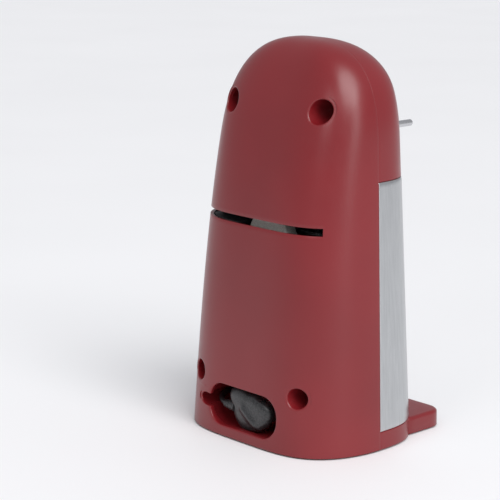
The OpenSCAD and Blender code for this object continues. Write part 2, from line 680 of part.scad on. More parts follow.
// ---------- drive ----------
drive_wheel_y = boss_face - bush_flange_t - free_gap;        // rear face of the drive wheel
drive_end = drive_wheel_y - drive_wheel_w - 1.2;
module drive_shaft() color(steel) along_y(drive_x, drive_end, drive_z) {
    cylinder(d = drive_shaft_d, h = plate_y + plate_t - drive_end);
    cylinder(d = drive_shaft_d + 1.6, h = 1.2);
}
module drive_bushing() color("#b08a4e") along_y(drive_x, boss_face - bush_flange_t, drive_z) difference() {
    union() {
        cylinder(d = drive_shaft_d + 2 * bush_t + 4, h = bush_flange_t);
        cylinder(d = drive_shaft_d + 2 * bush_t, h = inner_front + 0.8 - boss_face + bush_flange_t);
    }
    translate([0, 0, -cut]) cylinder(d = hole(drive_shaft_d), h = big);
}
module drive_wheel() color("#9a9da1") front_on(drive_wheel_y) translate(drive_at)
        linear_extrude(drive_wheel_w)
    difference() {
        polygon([for (i = [0:2 * drive_wheel_nicks - 1]) let (a = 180 * i / drive_wheel_nicks)
            (drive_wheel_d / 2 - (i % 2) * 0.7) * [cos(a), sin(a)]]);
        circle(d = drive_shaft_d);
    }
drive_wheel_nicks = 26;
post_tip_y = lever_front - wheel_stand - cutter_t - cutter_head_t;
module guide_posts() color(steel) for (s = [-1, 1])
    along_y(drive_x + s * post_x, post_tip_y, drive_z + post_rise) {
        cylinder(d1 = post_d - 1, d2 = post_d, h = 0.8, $fn = 48);
        translate([0, 0, 0.8]) cylinder(d = post_d, h = post_root_y - wall - post_tip_y - 0.8);
    }

// ---------- lever ----------
grip_start = 26;
handle_z = pivot_at[1] + 2;                 // middle of the handle
handle_h = 7;
grip_h = 14;
grip_w = 11;
hinge_z = pivot_at[1] + 6;                  // pin of the magnet's arm
hinge_y = lever_front - 3.6;
magnet_x = drive_x + 18.5;
arm_w = 9;
cheek_t = 2;
eye_r = 3;
pin_d = 2.5;
module lever_outline() {
    translate(pivot_at) circle(pivot_r);
    translate(cutter_at) circle(lobe_r);
    polygon([pivot_at + pivot_r * [-0.6, -0.8], cutter_at + lobe_r * [-0.5, -0.866],
             cutter_at + lobe_r * [0.866, 0.5], [drive_x + grip_start, handle_z - handle_h / 2],
             [drive_x + grip_start, handle_z + handle_h / 2], pivot_at + pivot_r * [0, 1]]);
    translate([drive_x, handle_z - handle_h / 2]) square([grip_end - drive_x - 4, handle_h]);
}
module cutting_lever() color(steel) difference() {
    union() {
        front_on(lever_y) linear_extrude(lever_t) lever_outline();
        for (x = [magnet_x - arm_w / 2 - free_gap - cheek_t, magnet_x + arm_w / 2 + free_gap])
            translate([x, hinge_y, hinge_z]) rotate([0, 90, 0]) {
                cylinder(r = eye_r, h = cheek_t);
                translate([-0.5, 0, 0]) cube([eye_r + 1.5, lever_front - hinge_y + cut, cheek_t]);
                translate([-eye_r + 0.2, 0, 0]) cube([eye_r, lever_front - hinge_y + cut, cheek_t]);
            }
    }
    along_y(pivot_at[0], lever_front - cut, pivot_at[1]) cylinder(d = lever_shaft_d, h = lever_t + 2 * cut);
    along_y(cutter_at[0], lever_front - cut, cutter_at[1]) cylinder(d = cutter_axle_d, h = lever_t +
        2 * cut);
    translate([0, hinge_y, hinge_z]) rotate([0, 90, 0]) cylinder(d = pin_d, h = big);
}
module lever_grip() color(red) difference() {
    hull() for (x = [drive_x + grip_start + 5, grip_end - grip_h / 2], z = [-1, 1])
        front_on(lever_y - lever_t / 2 + grip_w / 2) translate([x, handle_z + z * 2]) {
            translate([0, 0, 1.5]) linear_extrude(grip_w - 3) circle(grip_h / 2 - 2, $fn = 32);
            linear_extrude(grip_w) circle(grip_h / 2 - 3.5, $fn = 32);
        }
    front_on(lever_y + run_gap) linear_extrude(lever_t + 2 * run_gap)
        translate([drive_x, handle_z - handle_h / 2 - run_gap]) square([grip_end - drive_x - 4 +
            run_gap, handle_h + 2 * run_gap]);
}
module lever_shaft() color(steel) along_y(pivot_at[0], lever_front - 1.4, pivot_at[1]) {
    cylinder(d = lever_shaft_d, h = crank_y + 0.6 - lever_front + 1.4);
    cylinder(d = lever_shaft_d + 2, h = 1.4);
}
module switch_cam() color("#e6e3dc") front_on(crank_y) linear_extrude(crank_w) difference() {
    union() {
        translate(pivot_at) circle(lever_shaft_d / 2 + 2.2);
        translate(pivot_at + [crank_reach, 0]) circle(crank_r);
        translate(pivot_at - [0, crank_r]) square([crank_reach, 2 * crank_r]);
    }
    translate(pivot_at) circle(d = lever_shaft_d);
}
module cutter_axle() color(steel) along_y(cutter_at[0], cutter_y - cutter_t - 0.1 - cutter_head_t,
        cutter_at[1]) {
    cylinder(d1 = 8, d2 = 9.5, h = cutter_head_t - 0.6, $fn = 48);
    translate([0, 0, cutter_head_t - 0.6]) cylinder(d = 9.5, h = 0.6);
    cylinder(d = cutter_axle_d, h = cutter_head_t + cutter_t + 0.1 + wheel_stand + lever_t);
    translate([0, 0, cutter_head_t + cutter_t + 0.2]) cylinder(d = cutter_axle_d + 3,
        h = wheel_stand - 0.1);
}
module cutting_wheel() color("#d5d8db") along_y(cutter_at[0], cutter_y - cutter_t, cutter_at[1])
        rotate_extrude($fn = 72)
    polygon([[hole(cutter_axle_d) / 2, 0], [cutter_d / 2 - 3.5, 0], [cutter_d / 2, cutter_t * 0.65],
             [cutter_d / 2, cutter_t * 0.75], [cutter_d / 2 - 3.5, cutter_t], [hole(cutter_axle_d) / 2,
                 cutter_t]]);

// ---------- magnet ----------
magnet_d = 11;
magnet_t = 4;
magnet_low = cutter_at[1] - cutter_d / 2 + 4;
magnet_y = cutter_y;
module magnet_arm() color("#c9ccd0") difference() {
    union() {
        translate([magnet_x - arm_w / 2, hinge_y, hinge_z]) rotate([0, 90, 0]) cylinder(r = eye_r,
            h = arm_w);
        translate([magnet_x - arm_w / 2, hinge_y - eye_r, magnet_low + magnet_t])
            cube([arm_w, 2, hinge_z - magnet_low - magnet_t]);
        translate([magnet_x, magnet_y, magnet_low + magnet_t]) cylinder(d = magnet_d, h = 1.5);
        translate([magnet_x, magnet_y, magnet_low + 1]) difference() {
            cylinder(d = magnet_d, h = magnet_t);
            translate([0, 0, -cut]) cylinder(d = magnet_d - 1.6, h = magnet_t + cut - 1);
        }
    }
    translate([0, hinge_y, hinge_z]) rotate([0, 90, 0]) cylinder(d = hole(pin_d), h = big);
}
module magnet_pin() color(steel)
    translate([magnet_x - arm_w / 2 - free_gap - cheek_t - 0.4, hinge_y, hinge_z]) rotate([0, 90, 0])
        cylinder(d = pin_d, h = arm_w + 2 * free_gap + 2 * cheek_t + 0.8);
module magnet() color("#4b4d50") translate([magnet_x, magnet_y, magnet_low])
        cylinder(d = magnet_d - 1.8, h = magnet_t);

// ---------- switch ----------
switch_w = 20;
switch_h = 13;
plunger_d = 3.2;
plunger_x = pivot_at[0] + crank_reach;
plunger_y = crank_y - crank_w / 2;
plunger_top = pivot_at[1] - crank_r - free_gap;
switch_top = plunger_top - 5.2;
switch_deep = plate_y - plunger_y + plunger_d / 2 + 1.8;
module switch_body() color(dark) difference() {
    translate([plunger_x - switch_w * 0.7, plate_y - switch_deep, switch_top - switch_h])
        cube([switch_w, switch_deep, switch_h]);
    translate([plunger_x, plunger_y, switch_top - 8]) cylinder(d = hole(plunger_d), h = big);
}
module switch_plunger() color(red) translate([plunger_x, plunger_y, switch_top - 7.2])
    cylinder(d = plunger_d, h = plunger_top - switch_top + 7.2);

// ---------- cord ----------
coil_at = [18, -5];
coil_low = base_top + 0.1;
cord_pitch = 3.45;
coil_r = coil_d / 2;
// From the strain relief to the coil's first turn
lead_in = [[-20, -24, 9], [-14, -24, 9], [-8, -24, 8.4], [-1, -24, 7.2], [5, -24, 6],
           [11, -24, 5.2], [18, -24, 5]];
// From the coil's last turn through the pocket to the plug
lead_rise = [[37, -5, 29.2], [37, 0, 28.7], [36.9, 6, 27], [36.6, 11, 24.7], [36, 16, 22.3],
             [35.1, 20.4, 20.7]];
// The same lead inside the pocket, measured from its hole in the pocket's floor
lead_pocket = [[0, -0.3, 0.3], [0, 3.9, 0.5], [0, 8.2, 0.7], [-1.07, 13.6, 0.6], [-4.1, 18.1, -0.2],
               [-8.6, 21.2, -1.3], [-14, 22.2, -1.9]];
lead_hole = [notch_x, pocket_floor_y, pocket_mid_z];
lead_out = concat(lead_rise, [for (p = lead_pocket) lead_hole + p]);
// Sweep of a tube along points, with its ends cut square
function unit(v) = v / norm(v);
function tube_ring(p, t, r, sides) =
    let (u = unit(cross(t, abs(t[2]) > 0.9 ? [1, 0, 0] : [0, 0, 1])), w = cross(t, u))
    [for (i = [0:sides - 1]) p + r * (cos(360 * i / sides) * u + sin(360 * i / sides) * w)];
module tube(route, d, sides = 8) {
    n = len(route);
    way = [for (i = [0:n - 1]) unit(route[min(n - 1, i + 1)] - route[max(0, i - 1)])];
    points = [for (i = [0:n - 1]) each tube_ring(route[i], way[i], d / 2, sides)];
    skin = [for (i = [0:n - 2], j = [0:sides - 1]) let (k = (j + 1) % sides)
        each [[i * sides + j, i * sides + k, (i + 1) * sides + k],
              [i * sides + j, (i + 1) * sides + k, (i + 1) * sides + j]]];
    polyhedron(points, concat(skin, [[for (j = [sides - 1:-1:0]) j]],
                              [[for (j = [0:sides - 1]) (n - 1) * sides + j]]), convexity = 8);
}
module strain_relief() color(dark) translate([tower_x - 1.6, relief_y, relief_z]) rotate([0, 90, 0])
        difference() {
    union() {
        cylinder(d = relief_d, h = 1.6);
        cylinder(d = neck_d, h = 1.6 + tower_t);
        translate([0, 0, 1.6 + tower_t]) cylinder(d = relief_d, h = 1.6);
        translate([0, 0, 3.2 + tower_t]) cylinder(d1 = relief_d - 1.5, d2 = cord_d + 1, h = relief_l,
            $fn = 48);
    }
}
relief_l = lead_in[0][0] - tower_x - 1.6 - tower_t;
module power_cord() color("#18181a") {
    tube(lead_in, cord_d);
    tube(lead_out, cord_d);
}
module cord_coil() color("#18181a") translate([coil_at[0], coil_at[1], coil_low]) rotate_extrude($fn = 64)
    translate([coil_r - cord_d / 2, 0]) square([cord_d, (cord_turns * cord_pitch + cord_d)]);

// ---------- plug ----------
plug_at = lead_out[len(lead_out) - 1];
plug_t = 9;                // thickness of the flat plug, which lies along the pocket
plug_back = 5.4;           // its rear side, in front of the cord's end
boot_l = 7;
boot_d = 6.6;
blade_l = 16;
blade_w = 6.3;
blade_t = 1.6;
blade_gap = 12.7;
blade_at = [25.5, -1.6];   // middle of the blades, from the cord's end
// Outline of the fan-shaped grip: away from the cord, and up
plug_outline = [[2.4, 8.9], [5.9, 0.7], [12.4, -11.6], [22.3, -12.3], [30.8, -9.4], [39, 0], [38, 5],
    [29, 9],
                [19, 10.6], [5, 11]];
module plug_body() color("#18181a") translate(plug_at) {
    rotate([0, -90, 0]) cylinder(d1 = cord_d + 1.4, d2 = boot_d, h = boot_l, $fn = 48);
    translate([0, plug_t - plug_back, 0]) front_on(0) linear_extrude(plug_t)
        polygon([for (p = plug_outline) [-p[0], p[1]]]);
}
module plug_blades() color("#c8c9c4") for (s = [-1, 1])
    translate(plug_at + [-blade_at[0] - blade_w / 2, -plug_back - blade_l, blade_at[1] +
        s * blade_gap / 2 - blade_t / 2])
        cube([blade_w, blade_l, blade_t]);

rear_housing();
front_housing();
front_panel();
base_plate();
rubber_feet();
housing_screws();
base_screws();
chassis_plate();
chassis_screws();
motor_stator();
motor_coil();
front_bracket();
rear_bracket();
motor_bearings();
motor_screws();
rotor();
motor_shaft();
motor_pinion();
sharpening_wheel();
wheel_nut();
sharpener_guide();
gear_axles();
first_gear();
second_gear();
drive_gear();
drive_shaft();
drive_bushing();
drive_wheel();
guide_posts();
cutting_lever();
lever_grip();
lever_shaft();
switch_cam();
cutter_axle();
cutting_wheel();
magnet_arm();
magnet_pin();
magnet();
switch_body();
switch_plunger();
strain_relief();
power_cord();
cord_coil();
plug_body();
plug_blades();
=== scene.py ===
# Tall electric can opener with a knife sharpener and a plug pocket in its rear shell.
# X runs across, Y to the rear and Z up. Sizes in the piece dictionaries are in millimetres;
# meshes are made in metres.
import math

import bmesh
import bpy
import numpy as np
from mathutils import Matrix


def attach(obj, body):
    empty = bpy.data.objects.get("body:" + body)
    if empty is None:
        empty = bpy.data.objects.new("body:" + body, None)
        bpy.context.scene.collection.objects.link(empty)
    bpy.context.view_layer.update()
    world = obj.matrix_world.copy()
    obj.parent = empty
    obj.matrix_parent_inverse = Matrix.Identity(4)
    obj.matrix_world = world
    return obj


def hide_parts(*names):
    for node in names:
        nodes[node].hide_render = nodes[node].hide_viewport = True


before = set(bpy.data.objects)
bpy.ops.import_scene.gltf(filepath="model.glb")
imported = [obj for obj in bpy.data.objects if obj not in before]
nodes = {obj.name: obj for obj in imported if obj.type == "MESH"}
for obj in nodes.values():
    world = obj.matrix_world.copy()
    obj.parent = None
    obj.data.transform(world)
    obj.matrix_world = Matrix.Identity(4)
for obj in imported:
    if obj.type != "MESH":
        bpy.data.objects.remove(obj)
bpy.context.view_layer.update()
print("frame loaded:", len(nodes), "parts")

# camera, looking at the rear and its left side from a little above
camera = {"place": (-0.7289, 0.6999, 0.33205), "yaw": 226.53, "down": 12.51,
          "lens": 124.73, "shift": -0.095}
cameraData = bpy.data.cameras.new("camera")
cameraData.lens = camera["lens"]
cameraData.sensor_width = 36
cameraData.shift_x = camera["shift"]
cameraObject = bpy.data.objects.new("camera", cameraData)
bpy.context.scene.collection.objects.link(cameraObject)
cameraObject.location = camera["place"]
cameraTilt = math.radians(90 - camera["down"])
cameraObject.rotation_euler = (cameraTilt, 0, math.radians(camera["yaw"]))
bpy.context.scene.camera = cameraObject
bpy.context.scene.view_settings.view_transform = "Standard"


def linkMesh(name, points, faces, sharpAngle=40):
    # points in millimetres become a mesh in metres: shared points are merged and the faces
    # made to agree in direction
    mesh = bpy.data.meshes.new(name)
    mesh.from_pydata((np.asarray(points, float) * 0.001).tolist(), [], [list(f) for f in faces])
    work = bmesh.new()
    work.from_mesh(mesh)
    bmesh.ops.remove_doubles(work, verts=work.verts, dist=2e-6)
    bmesh.ops.dissolve_degenerate(work, edges=work.edges, dist=1e-7)
    bmesh.ops.recalc_face_normals(work, faces=work.faces)
    work.to_mesh(mesh)
    work.free()
    mesh.polygons.foreach_set("use_smooth", [True] * len(mesh.polygons))
    mesh.set_sharp_from_angle(angle=math.radians(sharpAngle))
    piece = bpy.data.objects.new(name, mesh)
    bpy.context.scene.collection.objects.link(piece)
    return piece


def flipIfInward(piece, middle):
    # an open shell has its faces reversed if most of them look at its middle
    mesh = piece.data
    centres = np.zeros(len(mesh.polygons) * 3)
    normals = np.zeros(len(mesh.polygons) * 3)
    areas = np.zeros(len(mesh.polygons))
    mesh.polygons.foreach_get("center", centres)
    mesh.polygons.foreach_get("normal", normals)
    mesh.polygons.foreach_get("area", areas)
    away = centres.reshape(-1, 3) - np.array(middle) * 0.001
    outward = (away * normals.reshape(-1, 3)).sum(1) * areas
    if outward.sum() < 0:
        mesh.flip_normals()


def gridFaces(rows, columns, wrap=False, start=0):
    # quads between neighbouring rows and columns of a grid of points
    last = columns if wrap else columns - 1
    r, c = np.meshgrid(np.arange(rows - 1), np.arange(last), indexing="ij")
    n = (c + 1) % columns
    corners = [r * columns + c, r * columns + n, (r + 1) * columns + n, (r + 1) * columns + c]
    return np.stack(corners, -1).reshape(-1, 4) + start


def addWall(piece, thick, bevel):
    # a wall inwards from the surface, with its sharp edges softened
    wall = piece.modifiers.new("wall", "SOLIDIFY")
    wall.thickness = thick * 0.001
    wall.offset = -1
    edge = piece.modifiers.new("edge", "BEVEL")
    edge.width = bevel * 0.001
    edge.segments = 2
    edge.limit_method = "ANGLE"
    edge.angle_limit = math.radians(50)  # gentler folds stay as they are


def lathe(name, profile, centre, sides=48):
    # circles round an axis along Y: each profile row is a radius and a Y place
    rows = np.asarray(profile, float)
    a = np.linspace(0, 2 * np.pi, sides, endpoint=False)
    x = centre[0] + rows[:, :1] * np.cos(a)
    z = centre[1] + rows[:, :1] * np.sin(a)
    y = np.repeat(rows[:, 1:2], sides, 1)
    points = np.stack([x, y, z], -1).reshape(-1, 3)
    return linkMesh(name, points, gridFaces(len(rows), sides, wrap=True))


# form that both shells share: "corner" values are the powers that square off a ring, "dome"
# values say where the top starts to close and how roundly, "guide" sizes are the width and
# depth that space a ring's points
body = {"height": 235, "baseWidth": 136, "topWidth": 110, "seamBase": 7, "seamLean": 8,
        "dome": 176, "domePower": 2.6, "domeRows": 34, "wall": 2.1, "edge": 0.3,
        "rearDepth": 49, "rearTaper": 4, "rearCorner": 4.1, "rearDome": -30,
        "rearGuide": (66, 48),
        "frontDepth": 48, "frontTaper": 15, "frontCorner": 3.0, "frontDome": 205,
        "frontDomePower": 2.1, "frontGuide": (64, 42)}


def domeShare(z, start, top, power):
    # one minus the risen share to a power, under the matching root
    k = np.clip((z - start) / (top - start), 0, 1)
    return np.maximum(0, 1 - k ** power) ** (1 / power)


def seamY(z):
    return body["seamBase"] - body["seamLean"] * z / body["height"]


def halfWidth(z, inset=0.0):
    # half the width falls evenly from base to top, times the dome's share
    narrowing = body["baseWidth"] - body["topWidth"]
    straight = (body["baseWidth"] - narrowing * z / body["height"]) / 2
    top = body["height"] - inset
    return (straight - inset) * domeShare(z, body["dome"], top, body["domePower"])


def rearDepth(z, inset=0.0):
    straight = body["rearDepth"] - body["rearTaper"] * z / body["height"]
    top = body["height"] - inset
    return (straight - inset) * domeShare(z, body["rearDome"], top, body["domePower"])


def frontDepth(z, inset=0.0):
    straight = body["frontDepth"] - body["frontTaper"] * z / body["height"]
    top = body["height"] - inset
    return (straight - inset) * domeShare(z, body["frontDome"], top, body["frontDomePower"])


def rearY(x, z):
    # rear face as a height over the X-Z plane: a squared-off half ring at every level
    share = np.clip(np.abs(x) / np.maximum(halfWidth(z), 1e-6), 0, 1)
    return seamY(z) + rearDepth(z) * np.sqrt(np.maximum(0, 1 - share ** body["rearCorner"]))


def signedPower(v, p):
    # a power that keeps the sign of its base
    return np.sign(v) * np.abs(v) ** p


def evenAngles(xPower, yPower, width, depth, count):
    # angles that space the points of a ring evenly along its length
    a = np.linspace(0, np.pi, 4001)
    p = np.stack([width * signedPower(np.cos(a), 2 / xPower), depth * np.sin(a) ** (2 / yPower)], 1)
    run = np.concatenate([[0], np.cumsum(np.linalg.norm(np.diff(p, axis=0), axis=1))])
    return np.interp(np.linspace(0, run[-1], count), run, a)


def halfGrid(levels, angles, side, inset):
    # half rings, squared off by powers of sine and cosine, one at each level: side 1 is the
    # rear and -1 the front
    z = np.asarray(levels, float)[:, None]
    inset = np.broadcast_to(np.asarray(inset, float).reshape(-1, 1), z.shape)
    if side > 0:
        xPower, yPower, depth = body["rearCorner"], 2, rearDepth
    else:
        xPower, yPower, depth = body["frontCorner"], body["frontCorner"], frontDepth
    x = halfWidth(z, inset) * signedPower(np.cos(angles), 2 / xPower)
    y = seamY(z) + side * depth(z, inset) * np.sin(angles) ** (2 / yPower)
    return np.stack([x, y, np.broadcast_to(z, x.shape)], -1)


def domeLevels(low):
    # levels that crowd together towards the top, as a sine does
    rise = np.sin(np.linspace(0, np.pi / 2, body["domeRows"] + 1))[1:]
    return low + (body["height"] - low) * rise


# rear shell: the sharpener's slot, four screw recesses and the plug's pocket. Cuts are places
# and half sizes (x, z, wide, high) of the openings left in the shell's grid
rearShell = {"columns": 113, "lowRows": [(1, 12, 1.0), (12, 27, 0.5), (27, 42.5, 1.0)],
             "rowsTo": (42.5, 38), "slotRows": 3, "highRows": 20,
             "slotLow": 128.5, "slotHigh": 133, "slotLeft": -48, "slotFloor": 16.5,
             "lip": 0.9, "cutFrom": 8, "cutSpare": 1.4, "domeSpare": 1.6,
             "screwFloor": 8, "screwFillet": 0.8, "screwPole": 0.45}
recesses = [(-42, 35, 6), (42, 35, 6), (-37, 197, 7), (37, 197, 7)]  # x, z, radius
pocket = {"halfWide": 29, "halfHigh": 12.5, "corner": 11.5, "middleZ": 19.5,
          "notchTurn": 0.128, "notchDeep": 9.3, "mouthCut": (0, 18.9, 33, 15.4),
          "notchCut": (20.5, 19.25, 20.6, 7.9), "rimY": 51.0, "rimRound": 0.3, "rimStep": 0.4,
          "floorY": 24.8, "fillet": 3.0, "roomWide": 33, "roomHigh": 14.4, "roomCorner": 12}


def roundedReach(angle, wide, high, corner):
    # how far a ray from the middle goes before it meets a rounded rectangle
    c, s = np.abs(np.cos(angle)) + 1e-9, np.abs(np.sin(angle)) + 1e-9
    flat = np.minimum(wide / c, high / s)
    along = c * (wide - corner) + s * (high - corner)
    off = (wide - corner) ** 2 + (high - corner) ** 2 - corner ** 2
    arc = along + np.sqrt(np.maximum(along ** 2 - off, 0))
    inCorner = (flat * c > wide - corner) & (flat * s > high - corner)
    return np.where(inCorner, arc, flat)


def notchReach(angle, extra=0.0):
    # the cord notch is half an ellipse that stands on the end of the mouth
    turn = np.arctan2(np.sin(angle), np.cos(angle)) / pocket["notchTurn"]
    rise = (pocket["notchDeep"] + extra) * np.sqrt(np.maximum(0, 1 - turn ** 2))
    return np.where(np.abs(turn) < 1, pocket["halfWide"] / np.maximum(np.cos(angle), 0.1) + rise, 0)


def mouthReach(angle):
    # the mouth and its notch, whichever goes farther
    box = roundedReach(angle, pocket["halfWide"], pocket["halfHigh"], pocket["corner"])
    return np.maximum(box, notchReach(angle))


def roomReach(angle):
    # the wider room behind the mouth, in the same way
    box = roundedReach(angle, pocket["roomWide"], pocket["roomHigh"], pocket["roomCorner"])
    return np.maximum(box, notchReach(angle, pocket["rimStep"]))


def buildRearShell():
    # the half ring carried up its levels, with cells left out at each opening and rings of
    # points that run from the edge of the cells to the opening's rim, walls and floor
    slotLow, slotHigh = rearShell["slotLow"], rearShell["slotHigh"]
    low, rows = rearShell["rowsTo"]
    levels = np.concatenate([np.arange(*step) for step in rearShell["lowRows"]]
                            + [np.linspace(low, slotLow, rows),
                               np.linspace(slotLow, slotHigh, rearShell["slotRows"])[1:],
                               np.linspace(slotHigh, body["dome"], rearShell["highRows"])[1:],
                               domeLevels(body["dome"])])
    angles = evenAngles(body["rearCorner"], 2, *body["rearGuide"], rearShell["columns"])
    grid = halfGrid(levels, angles, 1, 0)
    rows, columns = grid.shape[:2]
    middle = (grid[:-1, :-1] + grid[1:, 1:] + grid[:-1, 1:] + grid[1:, :-1]) / 4
    mx, my, mz = middle[..., 0], middle[..., 1], middle[..., 2]
    removed = (mz > slotLow) & (mz < slotHigh) & (mx > rearShell["slotLeft"])
    removed &= (mx < 0) | (my > rearShell["slotFloor"])  # the slot runs out at one side only
    rowZ = mz[:, 0]

    def cellBlock(x, z, wide, high):
        # whole rows and columns of cells round a place, so that the hole's edge stays straight
        near = mx[np.argmin(np.abs(rowZ - z))]
        cells = (np.abs(rowZ - z) < high)[:, None] & (np.abs(near - x) < wide)[None, :]
        return cells & (my > rearShell["cutFrom"])

    lip = rearShell["lip"]
    windows = []
    for cx, cz, radius in recesses:
        reach = radius + lip + rearShell["cutSpare"]
        isUpper = cz > body["height"] / 2
        wide = reach + (rearShell["domeSpare"] if isUpper else 0)
        windows.append(((cx, cz), cellBlock(cx, cz, wide, reach)))
    mouth = cellBlock(*pocket["mouthCut"]) | cellBlock(*pocket["notchCut"])
    windows.append(((0, pocket["middleZ"]), mouth))
    for _, cells in windows:
        removed |= cells
    points, faces = [grid.reshape(-1, 3)], [gridFaces(rows, columns)[~removed.reshape(-1)]]
    count = rows * columns
    for k, (centre, cells) in enumerate(windows):
        inside = np.zeros((rows, columns), bool)
        outside = np.zeros((rows, columns), bool)
        for dr in (0, 1):
            for dc in (0, 1):
                inside[dr:rows - 1 + dr, dc:columns - 1 + dc] |= cells
                outside[dr:rows - 1 + dr, dc:columns - 1 + dc] |= ~cells
        edge = grid[inside & outside]
        angle = np.arctan2(edge[:, 2] - centre[1], edge[:, 0] - centre[0])
        order = np.argsort(angle)
        edge, angle = edge[order], angle[order]
        far = np.hypot(edge[:, 0] - centre[0], edge[:, 2] - centre[1])
        rings = [edge]
        isPocket = k == len(windows) - 1
        rim = mouthReach(angle) if isPocket else np.full(len(angle), float(recesses[k][2]))

        def ring(radius, y=None, depth=0.0):
            # points at a radius round the opening, at a given y or a depth below the surface
            x, z = centre[0] + radius * np.cos(angle), centre[1] + radius * np.sin(angle)
            surface = rearY(x, z) - depth if y is None else np.broadcast_to(y, x.shape)
            return np.stack([x, surface, z], 1)

        for t in (0.35, 0.7):
            rings.append(ring(far + (rim + lip - far) * t))
        for turn in np.radians([0, 22.5, 45, 67.5, 90]):
            rings.append(ring(rim + lip * (1 - np.sin(turn)), depth=lip * (1 - np.cos(turn))))
        if isPocket:
            room, rimY = roomReach(angle), pocket["rimY"]
            rings.append(ring(rim, y=rimY + pocket["rimRound"]))
            rings.append(ring(rim + pocket["rimRound"], y=rimY))
            rings.append(ring(room, y=rimY - pocket["rimStep"]))
            floor, fillet = pocket["floorY"], pocket["fillet"]
            wallHigh = rimY - pocket["rimStep"] - floor - fillet
            for share in (0.66, 0.33, 0):
                rings.append(ring(room, y=floor + fillet + wallHigh * share))
            for turn in np.radians([22.5, 45, 67.5, 90]):
                narrower = fillet * (1 - np.cos(turn))
                rings.append(ring(room - narrower, y=floor + fillet * (1 - np.sin(turn))))
            for share in (0.6, 0.3):
                rings.append(ring((room - fillet) * share, y=floor))
        else:
            floor = seamY(centre[1]) + rearShell["screwFloor"]
            deep, fillet = rings[-1][:, 1], rearShell["screwFillet"]
            for share in (0.5, 1):
                rings.append(ring(rim, y=deep + (floor + fillet - deep) * share))
            for turn in np.radians([45, 90]):
                narrower = fillet * (1 - np.cos(turn))
                rings.append(ring(rim - narrower, y=floor + fillet * (1 - np.sin(turn))))
            rings.append(ring(rim * rearShell["screwPole"], y=floor))
        patch = np.stack(rings)
        points.append(patch.reshape(-1, 3))
        faces.append(gridFaces(patch.shape[0], patch.shape[1], wrap=True, start=count))
        last = count + (patch.shape[0] - 1) * patch.shape[1] + np.arange(patch.shape[1])
        count += patch.shape[0] * patch.shape[1]
        points.append(np.array([[centre[0], floor, centre[1]]]))  # a pole closes the floor
        faces.append(np.stack([last, np.roll(last, -1), np.full(len(last), count)], 1))
        count += 1
    allFaces = [f for part in faces for f in part.tolist()]
    piece = linkMesh("rearShell", np.concatenate(points), allFaces, sharpAngle=55)
    flipIfInward(piece, (0, 5, 100))
    addWall(piece, body["wall"], body["edge"])
    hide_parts("rear_housing")
    return piece


rearPiece = buildRearShell()
print("rear shell made")

# front shell, set back a little behind the panel, with its forward foot and two bosses
frontShell = {"columns": 97, "lowRows": (1, 11, 6), "panelLow": 11.4, "panelHigh": 156.6,
              "panelRows": 60, "highLow": 157, "highRows": 9, "recess": 0.6}
foot = {"halfWide": 60, "front": -56, "back": -20, "low": 1, "high": 11, "corner": 9,
        "round": 2.2, "cornerShare": 0.8, "wall": 2.0, "sides": 160}
bosses = {  # each profile row is a radius and a y place
    "driveBoss": {"middle": (0, 168.5), "profile": [(0, -20), (10, -20), (10, -38.2), (9.8, -38.7),
                                                    (9.2, -38.98), (0, -38.98)]},
    "leverBoss": {"middle": (-14, 196), "profile": [(0, -20), (7, -20), (7, -38.3), (6.8, -38.8),
                                                    (6.3, -38.98), (0, -38.98)]}}


def frontAngles(count):
    return evenAngles(body["frontCorner"], body["frontCorner"], *body["frontGuide"], count)


def buildFrontShell():
    # the front half ring carried up its levels, inset where the panel lies
    low, high = frontShell["panelLow"], frontShell["panelHigh"]
    levels = np.concatenate([np.linspace(*frontShell["lowRows"]),
                             np.linspace(low, high, frontShell["panelRows"]),
                             np.linspace(frontShell["highLow"], body["dome"], frontShell["highRows"]),
                             domeLevels(body["dome"])])
    inset = np.where((levels >= low) & (levels <= high), frontShell["recess"], 0.0)
    grid = halfGrid(levels, frontAngles(frontShell["columns"]), -1, inset)
    faces = gridFaces(*grid.shape[:2]).tolist()
    piece = linkMesh("frontShell", grid.reshape(-1, 3), faces, sharpAngle=30)
    flipIfInward(piece, (0, 0, 100))
    addWall(piece, body["wall"], body["edge"])
    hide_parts("front_housing")
    return piece


def buildFoot():
    # a rounded rectangle in plan, carried up a profile with a rounded top edge and closed by a
    # pole in its middle
    a = np.linspace(0, 2 * np.pi, foot["sides"], endpoint=False)
    midY, halfDeep = (foot["front"] + foot["back"]) / 2, (foot["back"] - foot["front"]) / 2
    turn = np.linspace(0, np.pi / 2, 7)
    edge = foot["round"]
    profile = [(0, foot["low"]), (0, foot["high"] - edge)]
    profile += [(edge * (1 - math.cos(t)), foot["high"] - edge * (1 - math.sin(t)))
                for t in turn[1:]]
    rings = []
    for shrink, z in profile:
        corner = foot["corner"] - shrink * foot["cornerShare"]
        reach = roundedReach(a, foot["halfWide"] - shrink, halfDeep - shrink, corner)
        x, y = reach * np.cos(a), midY + reach * np.sin(a)
        rings.append(np.stack([x, y, np.full(len(a), z)], 1))
    for share in (0.66, 0.33, 0.0):
        inner = rings[len(profile) - 1].copy()
        inner[:, 0] *= share
        inner[:, 1] = midY + (inner[:, 1] - midY) * share
        rings.append(inner)
    block = np.stack(rings)
    faces = gridFaces(*block.shape[:2], wrap=True).tolist()
    piece = linkMesh("frontFoot", block.reshape(-1, 3), faces, sharpAngle=50)
    flipIfInward(piece, (0, midY, 2))
    addWall(piece, foot["wall"], body["edge"])
    return piece


frontPiece = buildFrontShell()
footPiece = buildFoot()
bossPieces = [lathe(name, boss["profile"], boss["middle"]) for name, boss in bosses.items()]
print("front shell made")

# steel panel that wraps round the front
panel = {"low": 11.5, "high": 156.5, "rows": 90, "columns": 121, "proud": 0.3, "thick": 0.8,
         "roll": 1.1, "rollIn": 0.35, "edge": 0.25}


